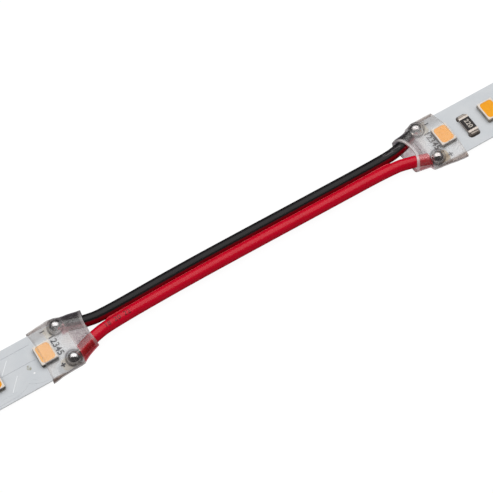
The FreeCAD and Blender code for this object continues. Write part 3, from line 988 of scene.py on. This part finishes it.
def add_sleeve(side):
    """Film of one sleeve: the outer face, and an inner face set in by the wall."""
    outer = sleeve_grid(side)
    normals = grid_normals(outer) * -SIGN[side]
    middle = outer.mean(axis=1, keepdims=True)
    if ((outer - middle) * normals).sum() < 0:
        normals = -normals
    ball_gap = np.hypot(np.abs(outer[:, :, 0]) - BALL_X, np.abs(outer[:, :, 1]) - BALL_Y)
    above = outer[:, :, 2] > BOARD_TOP
    over_ball = above * fall(ball_gap, BALL_RADIUS + 0.3, 0.3)
    beside = rise(np.abs(normals[:, :, 1]), 0.375, 0.625)
    wall = np.minimum(FILM_WALL - (FILM_WALL - FILM_WALL_BESIDE) * beside,
                      FILM_WALL - (FILM_WALL - FILM_WALL_OVER_BALL) * over_ball)
    inner = outer - normals * wall[:, :, None]
    rows, count = outer.shape[:2]
    points = np.concatenate([outer.reshape(-1, 3), inner.reshape(-1, 3)])
    faces = skin([range(count)] * rows, closed=False)
    faces += skin([range(count)] * rows, closed=False, first=rows * count)
    for row in (0, rows - 1):
        for column in range(count):
            a = row * count + column
            b = row * count + (column + 1) % count
            faces.append((a, b, b + rows * count, a + rows * count))
    piece = add_piece(side + "_shrink_sleeve", points, faces, FILM,
                      [side + "_sleeve"], sharp_above=60)
    for mark, values in film_marks(side, outer, above, over_ball).items():
        store(piece, mark, np.stack([values, values]).ravel())


for side in SIGN:
    add_sleeve(side)


# LEDs
CAVITY_WIDTH = 2.12
CAVITY_LENGTH = 2.82
LED_LOOKS = {
    ("left", 1): (HOUSING_COVERED, PHOSPHOR_COVERED),
    ("left", 2): (HOUSING, PHOSPHOR),
    ("right", 1): (HOUSING_GREY, PHOSPHOR_DEEP),
    ("right", 2): (HOUSING_PALE, PHOSPHOR),
}


def add_led(side, index, moulding, fill):
    """Housing with an open cavity, the phosphor in it and the ends of the terminals."""
    name = f"{side}_led_{index}"
    centre = node_centre(name + "_housing")
    foot = BOARD_TOP + 0.2
    top = LED_TOP
    outline = stepped(LED_WIDTH, LED_LENGTH, [
        (0.06, 0.12, foot), (0, 0.15, foot + 0.04), (0.05, 0.16, top - 0.08),
        (0.12, 0.16, top - 0.015), (0.18, 0.16, top)])
    outline += stepped(CAVITY_WIDTH, CAVITY_LENGTH, [
        (-0.06, 0.53, top), (0, 0.5, top - 0.03), (0.1, 0.47, top - 0.3)])
    add_stacked(name + "_moulding", centre, outline, moulding, [name + "_housing"])
    outline = stepped(CAVITY_WIDTH, CAVITY_LENGTH, [
        (0.1, 0.47, top - 0.3), (0.01, 0.5, top - 0.035), (0.12, 0.46, top - 0.05),
        (0.5, 0.35, top - 0.07), (1.1, 0.25, top - 0.08)])
    add_stacked(name + "_fill", centre, outline, fill, [name + "_phosphor"])
    for pole in ("cathode", "anode"):
        terminal = f"{name}_{pole}"
        low, high = node_box(terminal)
        width, length = (high - low)[:2]
        outline = stepped(width, length, [
            (0, 0.05, low[2]), (0, 0.05, high[2] - 0.03), (0.05, 0.04, high[2])])
        add_stacked(terminal + "_foot", (low + high) / 2, outline, TERMINAL,
                    [terminal])


for (side, index), looks in LED_LOOKS.items():
    add_led(side, index, *looks)


# Solder
BALL_FOOT = [(0.97, 0.0), (0.93, 0.08), (0.925, 0.2), (0.95, 0.35)]
BALL_MIDDLE = 0.62
BALL_PROFILE = BALL_FOOT + [(math.cos(math.radians(a)), BALL_MIDDLE + math.sin(math.radians(a)))
                            for a in range(-8, 88, 6)] + [(0.02, BALL_MIDDLE + 1)]


def add_solder(side, pole, phase):
    """Blob of solder: a slightly lumpy ball whose foot spreads on the pad."""
    name = f"{side}_{pole}_solder"
    centre = node_centre(name)
    foot = node_box(name)[0][2]
    around = 48
    rings = []
    for radius, height in BALL_PROFILE:
        ring = []
        for k in range(around):
            angle = 2 * math.pi * k / around
            lump = 0.02 * math.sin(2 * angle + phase)
            lump *= math.sin(math.pi * height / (BALL_MIDDLE + 1))
            lump += 0.012 * math.sin(3 * angle - 2 * phase + 2 * height)
            reach = radius * BALL_RADIUS * (0.97 + lump)
            ring.append((centre[0] + reach * math.cos(angle), centre[1] + reach * math.sin(angle),
                         foot + height * BALL_RADIUS * 0.995))
        rings.append(ring)
    add_rings(name + "_blob", rings, SOLDER, [name], sharp_above=70)


for side, pole, phase in (("left", "negative", 0.4), ("left", "positive", 2.1),
                          ("right", "negative", 3.6), ("right", "positive", 5.0)):
    add_solder(side, pole, phase)


# Finishes of the CAD nodes that stay, by how their names end; a later ending overrules
CARRIED = {
    "strip_board": BOARD,
    "adhesive_tape": TAPE,
    "pad": PAD,
    "right_positive_pad": PAD_STAINED,
    "conductor": COPPER,
    "cap": CAP,
    "near_solder": FILLET,
    "far_solder": FILLET,
    "resistor_body": RESISTOR,
}
for side in SIGN:
    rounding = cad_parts[side + "_strip_board"].modifiers.new("rounding", "BEVEL")
    rounding.width = 0.09 * MM
    rounding.segments = 3
    rounding.limit_method = "ANGLE"
for name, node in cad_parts.items():
    for ending, finish in CARRIED.items():
        if name.endswith(ending):
            node.data.materials.clear()
            node.data.materials.append(finish.material)


# Printed marks
# Font size that gives capitals a height of 1
FONT_SHARE = 1.38
PRINT_Z = BOARD_TOP + 0.045
CORE_PRINT_TILT = 10


def text_mesh(name, text, height, bold):
    """Flat characters centred on the origin, in metres, with strokes widened by bold."""
    data = bpy.data.curves.new(name, "FONT")
    data.body = text
    data.size = height * MM * FONT_SHARE
    data.align_x = data.align_y = "CENTER"
    data.extrude = 0.004 * MM
    data.offset = bold * MM
    data.space_character = 1.08
    return mesh_of(data)


def add_print(name, text, centre, height, turn_degrees, finish, bold, z=PRINT_Z):
    """Characters lying a hair above a level face."""
    mesh = text_mesh(name, text, height, bold)
    mesh.transform(Matrix.Translation(Vector((*centre[:2], z)) * MM)
                   @ Matrix.Rotation(math.radians(turn_degrees), 4, "Z"))
    place_piece(name, mesh, finish)


def add_core_print(text, along_x):
    """Characters wrapped on the red core, turned a little from its top towards -Y."""
    mesh = text_mesh("core_print", text, 0.75, 0.01)
    build = bmesh.new()
    build.from_mesh(mesh)
    bmesh.ops.triangulate(build, faces=build.faces)
    long_edges = [edge for edge in build.edges if edge.calc_length() > 0.3 * MM]
    bmesh.ops.subdivide_edges(build, edges=long_edges, cuts=2)
    build.to_mesh(mesh)
    build.free()
    line_x = red_line[:, 0]
    sideways = line_frames(red_line)
    for vertex in mesh.vertices:
        u, v, lift = vertex.co / MM
        x = along_x + u
        place = np.array([x, np.interp(x, line_x, red_line[:, 1]), CORE_Z])
        side = np.array([np.interp(x, line_x, sideways[:, axis]) for axis in range(3)])
        angle = math.radians(CORE_PRINT_TILT) - v / CORE_RADIUS
        outward = UP * math.cos(angle) - side * math.sin(angle)
        vertex.co = (place + outward * (CORE_RADIUS + 0.006 + lift)) * MM
    place_piece("red_core_mark_" + text, mesh, WIRE_PRINT)


for side, minus, plus, row, ink in (("left", (-32.4, 3.52), (-32.16, -2.78), 0.6, INK),
                                    ("right", (32.6, 3.3), (32.61, -3.21), 0.3, INK_FAINT)):
    add_print(side + "_numerals", "12345", (SIGN[side] * 31.62, row), 0.95, -90, ink,
              0.03)
    add_print(side + "_minus_mark", "\u2013", minus, 0.95, 0, INK, 0.03)
    add_print(side + "_plus_mark", "+", plus, 1.0, 0, INK, 0.05)
for number, along_x in (("18", -24.1), ("20", -22.5), ("22", -20.9)):
    add_core_print(number, along_x)
add_print("resistor_numerals", "220", node_centre("resistor_body"), 0.72, -90, MARK,
          0.022, node_box("resistor_body")[1][2] + 0.004)


# Low relief and small marks on the left board
def add_ribbon(name, path, width, height, finish, bevel=0.05):
    """Flat raised strip on the board along a path of (x, y) points."""
    line = np.array([(x, y, BOARD_TOP - 0.002) for x, y in path])
    half = width / 2
    profile = [(-half, 0), (bevel - half, height), (half - bevel, height), (half, 0)]
    rings = [[place + side * across + UP * z for across, z in profile]
             for place, side in zip(line, line_frames(line))]
    add_rings(name, rings, finish, sharp_above=15)


TRACK_HEIGHT = 0.045
add_ribbon("left_track_far", [(-45.6, 3.22), (-40, 3.22), (-34.9, 3.22)], 1.1, TRACK_HEIGHT, BOARD)
add_ribbon("left_track_middle", [(-45.6, 1.3), (-40, 1.3), (-35, 1.3)], 2.3, TRACK_HEIGHT, BOARD)
for name, start, end in (("far", (-38.65, 2.12), (-40.2, 0.39)),
                         ("near", (-38.37, -0.77), (-40.05, -2.75))):
    middle = ((start[0] + end[0]) / 2, (start[1] + end[1]) / 2)
    add_ribbon("left_crease_" + name, [start, middle, end], 0.13, 0.056, CREASE, bevel=0.02)
add_ribbon("left_track_near", [(-45.6, -3.3), (-39.5, -3.3), (-38.4, -2.9), (-37.6, -2.3),
                               (-36.9, -2.75), (-36.1, -3.15), (-35, -3.3)], 0.7, 0.03, BOARD)
